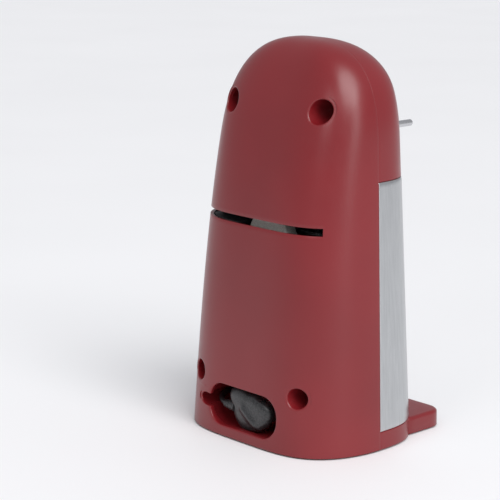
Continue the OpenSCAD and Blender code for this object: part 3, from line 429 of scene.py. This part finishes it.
def buildPanel():
    # the front half ring again, a little proud of the shell, with its long edges turned in
    levels = np.linspace(panel["low"], panel["high"], panel["rows"])
    edge = np.minimum(levels - panel["low"], panel["high"] - levels)
    rolled = panel["rollIn"] * np.maximum(0, 1 - edge / panel["roll"]) ** 2
    grid = halfGrid(levels, frontAngles(panel["columns"]), -1, rolled - panel["proud"])
    piece = linkMesh("wrapPanel", grid.reshape(-1, 3), gridFaces(*grid.shape[:2]).tolist())
    flipIfInward(piece, (0, 0, 80))
    addWall(piece, panel["thick"], panel["edge"])
    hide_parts("front_panel")
    return piece


panelPiece = buildPanel()
print("panel made")

# cord, with its coil in the base and its end in the pocket
cord = {"diameter": 3.4, "length": 969, "coilMiddle": (18, -5), "coilRadius": 19,
        "coilTurns": 7.25, "turnSteps": 36, "routeSteps": 4, "sides": 14,
        "leadIn": [(-20, -24, 9), (-14, -24, 9), (-8, -24, 8.4), (-1, -24, 7.2), (5, -24, 6),
                   (11, -24, 5.2), (18, -24, 5)],
        "leadOut": [(37, -5, 29.2), (37, 0, 28.7), (36.9, 6, 27), (36.6, 11, 24.7),
                    (36, 16, 22.3), (35.1, 20.4, 20.7), (34.5, 24.47, 19.8), (34.5, 28.67, 20),
                    (34.5, 32.97, 20.2), (33.43, 38.37, 20.1), (30.4, 42.87, 19.3),
                    (25.9, 45.97, 18.2), (20.5, 46.97, 17.6), (16.5, 46.97, 17.6)]}


def smoothRoute(route, steps):
    # a cubic through the points, with each tangent half the way between its neighbours
    p = np.asarray(route, float)
    tangent = np.gradient(p, axis=0)
    t = np.linspace(0, 1, steps, endpoint=False)[None, :, None]
    a, b, ta, tb = p[:-1, None], p[1:, None], tangent[:-1, None], tangent[1:, None]
    curve = ((2 * t ** 3 - 3 * t ** 2 + 1) * a + (t ** 3 - 2 * t ** 2 + t) * ta
             + (3 * t ** 2 - 2 * t ** 3) * b + (t ** 3 - t ** 2) * tb)
    return np.concatenate([curve.reshape(-1, 3), p[-1:]])


def buildCord():
    # circles carried along a route: in to the coil, round its rising turns and out to the plug
    turns = cord["coilTurns"]
    turn = np.linspace(-np.pi / 2, -np.pi / 2 + 2 * np.pi * turns, int(cord["turnSteps"] * turns))
    z = np.linspace(cord["leadIn"][-1][2], cord["leadOut"][0][2], len(turn))
    helix = np.stack([cord["coilMiddle"][0] + cord["coilRadius"] * np.cos(turn),
                      cord["coilMiddle"][1] + cord["coilRadius"] * np.sin(turn), z], 1)
    steps = cord["routeSteps"]
    path = np.concatenate([smoothRoute(cord["leadIn"], steps)[:-1], helix[:-1],
                           smoothRoute(cord["leadOut"], steps)])
    along = np.gradient(path, axis=0)
    along /= np.linalg.norm(along, axis=1)[:, None]
    side = np.cross(along, (0, 0, 1))
    side /= np.linalg.norm(side, axis=1)[:, None]
    up = np.cross(side, along)
    a = np.linspace(0, 2 * np.pi, cord["sides"], endpoint=False)[None, :, None]
    circle = np.cos(a) * side[:, None] + np.sin(a) * up[:, None]
    rings = path[:, None] + cord["diameter"] / 2 * circle
    block = rings.reshape(-1, 3)
    n = cord["sides"]
    points = np.concatenate([block, path[:1], path[-1:]])
    first, last = np.arange(n), len(block) - n + np.arange(n)
    caps = np.concatenate([np.stack([np.roll(first, -1), first, np.full(n, len(block))], 1),
                           np.stack([last, np.roll(last, -1), np.full(n, len(block) + 1)], 1)])
    faces = gridFaces(len(path), n, wrap=True).tolist() + caps.tolist()
    piece = linkMesh("mainsCord", points, faces)
    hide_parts("power_cord", "cord_coil")
    length = np.linalg.norm(np.diff(path, axis=0), axis=1).sum()
    print("cord length in millimetres:", round(float(length), 1))
    return piece, path * 0.001


cordPiece, cordPath = buildCord()

# plug body: an outline of x and z places round its middle. The boot's rings start beyond the
# cord's end and widen as they run to the grip
plug = {"middleY": 46.1, "half": 4.45, "middle": (-0.5, 17.0), "sides": 144, "rows": 22,
        "softening": 6, "flatPower": 4.2, "edgePower": 2.4,
        "outline": [(18.1, 26.5), (14.6, 18.3), (8.1, 6.0), (-1.8, 5.3), (-10.3, 8.2),
                    (-18.4, 17.6), (-17.5, 22.6), (-8.5, 26.6), (1.5, 28.2), (15.5, 28.6)],
        "ridge": ((3.0, 18.7), (-10.3, 8.2)), "ridgeHigh": 1.3, "ridgeWide": 2.6}
boot = {"cordEnd": (20.5, 46.97, 17.6), "beyond": 1.5, "length": 10, "thin": 2.3, "widen": 1.2,
        "rib": 0.22, "ribs": 4, "rows": 29, "sides": 32}


def buildPlug():
    # a cushion over a smooth closed outline, flat in its middle, with a raised spine behind
    corners = np.asarray(plug["outline"], float) - plug["middle"]
    angle = np.arctan2(corners[:, 1], corners[:, 0])
    order = np.argsort(angle)
    angle, far = angle[order], np.linalg.norm(corners, axis=1)[order]
    a = np.linspace(-np.pi, np.pi, plug["sides"], endpoint=False)
    angles = np.concatenate([angle - 2 * np.pi, angle, angle + 2 * np.pi])
    reach = np.interp(a, angles, np.tile(far, 3))
    n = plug["softening"]  # neighbours on each side that round off a corner
    kernel = np.hanning(2 * n + 1)
    around = np.concatenate([reach[-n:], reach, reach[:n]])
    reach = np.convolve(around, kernel / kernel.sum(), "valid")
    share = np.sin(np.linspace(0, np.pi / 2, plug["rows"]))
    rho = np.concatenate([share, share[::-1][1:]])
    front = np.concatenate([np.ones(plug["rows"]), -np.ones(plug["rows"] - 1)])
    x = plug["middle"][0] + rho[:, None] * reach * np.cos(a)
    z = plug["middle"][1] + rho[:, None] * reach * np.sin(a)
    crown = np.maximum(0, 1 - rho ** plug["flatPower"]) ** (1 / plug["edgePower"])
    y = plug["middleY"] + (front * plug["half"] * crown)[:, None] * np.ones_like(x)
    start, end = np.asarray(plug["ridge"][0]), np.asarray(plug["ridge"][1])
    line = end - start
    t = np.clip(((x - start[0]) * line[0] + (z - start[1]) * line[1]) / (line @ line), 0, 1)
    off = np.hypot(x - start[0] - t * line[0], z - start[1] - t * line[1])
    spine = plug["ridgeHigh"] * np.exp(-(off / plug["ridgeWide"]) ** 2) * crown[:, None]
    y = y + np.where(front[:, None] > 0, spine, 0)
    points = np.stack([x, y, z], -1).reshape(-1, 3)
    faces = gridFaces(len(rho), len(a), wrap=True).tolist()
    piece = linkMesh("plugBody", points, faces, sharpAngle=80)
    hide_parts("plug_body")
    return piece


def buildBoot():
    # rings along the cord's last stretch that widen towards the grip, with shallow ribs
    s = np.linspace(0, 1, boot["rows"])
    ribs = boot["rib"] * np.cos(s * np.pi * 2 * boot["ribs"]) * (s > 0.02)
    radius = np.concatenate([[0.0], boot["thin"] + boot["widen"] * s + ribs, [0.0]])
    endX, endY, endZ = boot["cordEnd"]
    x = endX + boot["beyond"] - boot["length"] * np.concatenate([[0], s, [1]])
    a = np.linspace(0, 2 * np.pi, boot["sides"], endpoint=False)
    block = np.stack([np.repeat(x[:, None], len(a), 1), endY + radius[:, None] * np.cos(a),
                      endZ + radius[:, None] * np.sin(a)], -1)
    faces = gridFaces(len(x), len(a), wrap=True).tolist()
    return linkMesh("plugBoot", block.reshape(-1, 3), faces, sharpAngle=60)


plugPiece = buildPlug()
bootPiece = buildBoot()
print("cord and plug made")


# finishes: patterns read Object coordinates, in metres
def newFinish(name):
    material = bpy.data.materials.new(name)
    material.use_nodes = True
    tree = material.node_tree
    shader = tree.nodes["Principled BSDF"]
    coords = tree.nodes.new("ShaderNodeTexCoord")
    return material, tree, shader, coords.outputs["Object"]


def stretched(tree, coords, scale):
    mapping = tree.nodes.new("ShaderNodeMapping")
    mapping.inputs["Scale"].default_value = scale
    tree.links.new(coords, mapping.inputs["Vector"])
    return mapping.outputs["Vector"]


def noise(tree, vector, scale, detail=3.0, rough=0.55):
    node = tree.nodes.new("ShaderNodeTexNoise")
    node.inputs["Scale"].default_value = scale
    node.inputs["Detail"].default_value = detail
    node.inputs["Roughness"].default_value = rough
    tree.links.new(vector, node.inputs["Vector"])
    return node.outputs["Fac"]


def ramp(tree, factor, low, high, lowColour, highColour):
    node = tree.nodes.new("ShaderNodeValToRGB")
    node.color_ramp.elements[0].position = low
    node.color_ramp.elements[1].position = high
    node.color_ramp.elements[0].color = (*lowColour, 1)
    node.color_ramp.elements[1].color = (*highColour, 1)
    tree.links.new(factor, node.inputs["Fac"])
    return node.outputs["Color"]


def spread(tree, factor, low, high):
    node = tree.nodes.new("ShaderNodeMapRange")
    node.inputs["From Min"].default_value = 0.25
    node.inputs["From Max"].default_value = 0.75
    node.inputs["To Min"].default_value = low
    node.inputs["To Max"].default_value = high
    tree.links.new(factor, node.inputs["Value"])
    return node.outputs["Result"]


def bumpFrom(tree, shader, heights):
    # stacks bumps: each is a height, a strength and a depth in metres
    normal = None
    for height, strength, depth in heights:
        node = tree.nodes.new("ShaderNodeBump")
        node.inputs["Strength"].default_value = strength
        node.inputs["Distance"].default_value = depth
        tree.links.new(height, node.inputs["Height"])
        if normal is not None:
            tree.links.new(normal, node.inputs["Normal"])
        normal = node.outputs["Normal"]
    tree.links.new(normal, shader.inputs["Normal"])


def plastic(name, colour, deep, rough=(0.3, 0.4), grain=2600, grainDepth=0.00003, coat=0.25,
            sinkScale=28, toneScale=14):
    # moulded plastic: slight drift of tone, fine grain, and the broad shallow waves of a mould
    material, tree, shader, coords = newFinish(name)
    broad = noise(tree, coords, toneScale, 2)
    tree.links.new(ramp(tree, broad, 0.3, 0.7, deep, colour), shader.inputs["Base Color"])
    tree.links.new(spread(tree, noise(tree, coords, 90, 4), *rough), shader.inputs["Roughness"])
    shader.inputs["Coat Weight"].default_value = coat
    shader.inputs["Coat Roughness"].default_value = 0.22
    bumpFrom(tree, shader, [(noise(tree, coords, grain, 2), 0.35, grainDepth),
                            (noise(tree, coords, sinkScale, 1), 0.25, 0.00025)])
    return material


def metal(name, colour, deep, rough, scale, stretch=(1, 1, 1), depth=0.00002):
    # metal: streaks of tone, roughness and fine scratches along the way the pattern is stretched
    material, tree, shader, coords = newFinish(name)
    lines = stretched(tree, coords, stretch)
    streaks = noise(tree, lines, scale, 5, 0.65)
    tree.links.new(ramp(tree, streaks, 0.25, 0.75, deep, colour), shader.inputs["Base Color"])
    tree.links.new(spread(tree, noise(tree, lines, scale * 0.6, 4), *rough),
                   shader.inputs["Roughness"])
    shader.inputs["Metallic"].default_value = 1.0
    bumpFrom(tree, shader, [(streaks, 0.3, depth)])
    return material


def banded(name, colour, deep, direction, period, metallic):
    # wires or sheets side by side: soft bands across one direction, with slight drift
    material, tree, shader, coords = newFinish(name)
    wave = tree.nodes.new("ShaderNodeTexWave")
    wave.bands_direction = direction
    wave.wave_profile = "SIN"
    wave.inputs["Scale"].default_value = 0.314 / period  # the band repeats every period, in metres
    wave.inputs["Distortion"].default_value = 0.25
    tree.links.new(coords, wave.inputs["Vector"])
    tree.links.new(ramp(tree, wave.outputs["Fac"], 0.1, 0.8, deep, colour),
                   shader.inputs["Base Color"])
    tree.links.new(spread(tree, noise(tree, coords, 200, 3), 0.35, 0.5),
                   shader.inputs["Roughness"])
    shader.inputs["Metallic"].default_value = metallic
    bumpFrom(tree, shader, [(wave.outputs["Fac"], 0.7, 0.0002)])
    return material


def stone(name, colour, deep):
    # bonded grit: pale grains in slightly darker binder
    material, tree, shader, coords = newFinish(name)
    cells = tree.nodes.new("ShaderNodeTexVoronoi")
    cells.inputs["Scale"].default_value = 1800
    tree.links.new(coords, cells.inputs["Vector"])
    tree.links.new(ramp(tree, cells.outputs["Distance"], 0.1, 0.7, colour, deep),
                   shader.inputs["Base Color"])
    tree.links.new(spread(tree, noise(tree, coords, 120, 4), 0.75, 0.95),
                   shader.inputs["Roughness"])
    bumpFrom(tree, shader, [(cells.outputs["Distance"], 0.6, 0.0002)])
    return material


finishes = {
    "redPlastic": plastic("redPlastic", (0.205, 0.0105, 0.0145), (0.175, 0.0085, 0.012),
                          rough=(0.28, 0.36), coat=0.12),
    "switchRed": plastic("switchRed", (0.42, 0.04, 0.05), (0.36, 0.03, 0.04), coat=0.1),
    "darkPlastic": plastic("darkPlastic", (0.022, 0.022, 0.024), (0.014, 0.014, 0.016),
                           rough=(0.42, 0.55), coat=0.0),
    "footRubber": plastic("footRubber", (0.02, 0.02, 0.021), (0.012, 0.012, 0.013),
                          rough=(0.7, 0.85), coat=0.0),
    "cordSheath": plastic("cordSheath", (0.014, 0.014, 0.015), (0.009, 0.009, 0.010),
                          rough=(0.3, 0.42), coat=0.1, grain=1800),
    "plugVinyl": plastic("plugVinyl", (0.050, 0.050, 0.052), (0.004, 0.004, 0.005),
                         rough=(0.22, 0.40), grain=1500,
                         grainDepth=0.00012, coat=0.2, sinkScale=60, toneScale=1300),
    "gearNylon": plastic("gearNylon", (0.72, 0.69, 0.58), (0.62, 0.59, 0.49), rough=(0.4, 0.5),
                         coat=0.1),
    "panelSteel": metal("panelSteel", (0.56, 0.57, 0.58), (0.46, 0.47, 0.48), rough=(0.26, 0.36),
                        stretch=(1, 1, 0.02), scale=900,
                        depth=0.00001),
    "plateSteel": metal("plateSteel", (0.62, 0.63, 0.64), (0.45, 0.46, 0.48), rough=(0.35, 0.5),
                        scale=160),
    "shaftSteel": metal("shaftSteel", (0.66, 0.66, 0.67), (0.50, 0.50, 0.52), rough=(0.2, 0.32),
                        stretch=(1, 0.05, 1), scale=700),
    "screwSteel": metal("screwSteel", (0.60, 0.60, 0.58), (0.40, 0.40, 0.38), rough=(0.28, 0.42),
                        scale=500),
    "leverSteel": metal("leverSteel", (0.70, 0.70, 0.70), (0.58, 0.58, 0.59), rough=(0.18, 0.28),
                        stretch=(0.1, 1, 1), scale=500),
    "gearSteel": metal("gearSteel", (0.52, 0.52, 0.53), (0.36, 0.36, 0.37), rough=(0.3, 0.45),
                       scale=400),
    "bearingBronze": metal("bearingBronze", (0.60, 0.42, 0.20), (0.45, 0.29, 0.12),
                           rough=(0.35, 0.5), scale=350),
    "bladeNickel": metal("bladeNickel", (0.72, 0.71, 0.66), (0.60, 0.59, 0.54), rough=(0.2, 0.3),
                         stretch=(1, 0.08, 1), scale=600),
    "lamination": banded("lamination", (0.36, 0.37, 0.38), (0.12, 0.12, 0.13), "Y", 0.0007,
                         metallic=0.8),
    "winding": banded("winding", (0.50, 0.19, 0.06), (0.20, 0.06, 0.02), "X", 0.0006,
                      metallic=0.6),
    "magnetFerrite": plastic("magnetFerrite", (0.09, 0.09, 0.10), (0.05, 0.05, 0.055),
                             rough=(0.5, 0.65), coat=0.0, grain=900),
    "whiteStone": stone("whiteStone", (0.80, 0.78, 0.73), (0.55, 0.53, 0.48)),
}
finishOf = {
    "red_plastic": "redPlastic", "switch_red": "switchRed", "steel_panel": "panelSteel",
    "dark_plastic": "darkPlastic",
    "foot_rubber": "footRubber", "screw_steel": "screwSteel", "plate_steel": "plateSteel",
    "lamination_steel": "lamination", "coil_winding": "winding", "bearing_bronze": "bearingBronze",
    "shaft_steel": "shaftSteel", "grinding_stone": "whiteStone", "gear_plastic": "gearNylon",
    "gear_steel": "gearSteel",
    "lever_steel": "leverSteel", "magnet_ferrite": "magnetFerrite", "cord_sheath": "cordSheath",
    "blade_nickel": "bladeNickel"}
partSlots = {
    "red_plastic": ["lever_grip"], "switch_red": ["switch_plunger"],
    "dark_plastic": ["base_plate", "sharpener_guide", "switch_body"],
    "foot_rubber": ["rubber_feet"],
    "screw_steel": ["housing_screws", "base_screws", "chassis_screws", "motor_screws",
                    "wheel_nut"],
    "plate_steel": ["chassis_plate", "front_bracket", "rear_bracket", "magnet_arm"],
    "lamination_steel": ["motor_stator", "rotor"],
    "coil_winding": ["motor_coil"],
    "bearing_bronze": ["motor_bearings", "motor_pinion", "drive_bushing"],
    "shaft_steel": ["motor_shaft", "gear_axles", "drive_shaft", "guide_posts", "lever_shaft",
                    "cutter_axle", "magnet_pin"],
    "grinding_stone": ["sharpening_wheel"],
    "gear_plastic": ["first_gear", "second_gear", "switch_cam"],
    "gear_steel": ["drive_gear", "drive_wheel"],
    "lever_steel": ["cutting_lever", "cutting_wheel"], "magnet_ferrite": ["magnet"],
    "cord_sheath": ["strain_relief"], "blade_nickel": ["plug_blades"]}
for slotName, names in partSlots.items():
    for name in names:
        nodes[name].data.materials.clear()
        nodes[name].data.materials.append(finishes[finishOf[slotName]])


def dress(piece, finish, bodyName="housing"):
    piece.data.materials.append(finishes[finish])
    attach(piece, bodyName)


for piece in (rearPiece, frontPiece, footPiece, *bossPieces):
    dress(piece, "redPlastic")
dress(panelPiece, "panelSteel")
dress(cordPiece, "cordSheath")
dress(plugPiece, "plugVinyl")
dress(bootPiece, "plugVinyl")
print("finishes given")

# floor and light: places in metres, powers in watts and, for the sun, strength
stage = {"size": 60.0, "floor": (0.90, 0.90, 0.91), "floorDrift": 0.98, "floorRough": 0.6,
         "world": (0.95, 0.96, 1.0), "worldStrength": 0.50}
sun = {"name": "broadKey", "towards": (-0.75, 0.22, 0.95), "power": 2.1, "spread": 45}
softLights = {
    "sideSoft": {"place": (-1.2, 0.1, 0.6), "target": (0, 0, 0.12), "size": (0.35, 0.9),
                 "power": 2.5},
    "rearSoft": {"place": (-0.35, 1.3, 0.9), "target": (0, 0, 0.15), "size": (0.5, 0.5),
                 "power": 2.0}}


def buildStage():
    half = stage["size"] / 2
    mesh = bpy.data.meshes.new("floor")
    corners = [(-half, -half, 0), (half, -half, 0), (half, half, 0), (-half, half, 0)]
    mesh.from_pydata(corners, [], [(0, 1, 2, 3)])
    floor = bpy.data.objects.new("floor", mesh)
    bpy.context.scene.collection.objects.link(floor)
    material, tree, shader, coords = newFinish("floorPaper")
    dim = tuple(c * stage["floorDrift"] for c in stage["floor"])
    tone = ramp(tree, noise(tree, coords, 3, 2), 0.3, 0.7, dim, stage["floor"])
    tree.links.new(tone, shader.inputs["Base Color"])
    shader.inputs["Roughness"].default_value = stage["floorRough"]
    mesh.materials.append(material)
    world = bpy.data.worlds.new("studio")
    world.use_nodes = True
    background = world.node_tree.nodes["Background"]
    background.inputs["Color"].default_value = (*stage["world"], 1)
    background.inputs["Strength"].default_value = stage["worldStrength"]
    bpy.context.scene.world = world


def addLamp(name, kind, power, away):
    # a lamp turned so that it shines against the direction away
    data = bpy.data.lights.new(name, kind)
    data.energy = power
    lamp = bpy.data.objects.new(name, data)
    bpy.context.scene.collection.objects.link(lamp)
    x, y, z = away
    lamp.rotation_euler = (math.atan2(math.hypot(x, y), z), 0, math.atan2(y, x) + math.pi / 2)
    return lamp


buildStage()
addLamp(sun["name"], "SUN", sun["power"], sun["towards"]).data.angle = math.radians(sun["spread"])
for name, light in softLights.items():
    away = [place - target for place, target in zip(light["place"], light["target"])]
    lamp = addLamp(name, "AREA", light["power"], away)
    lamp.location = light["place"]
    lamp.data.shape = "RECTANGLE"
    lamp.data.size, lamp.data.size_y = light["size"]
print("stage and lights set")
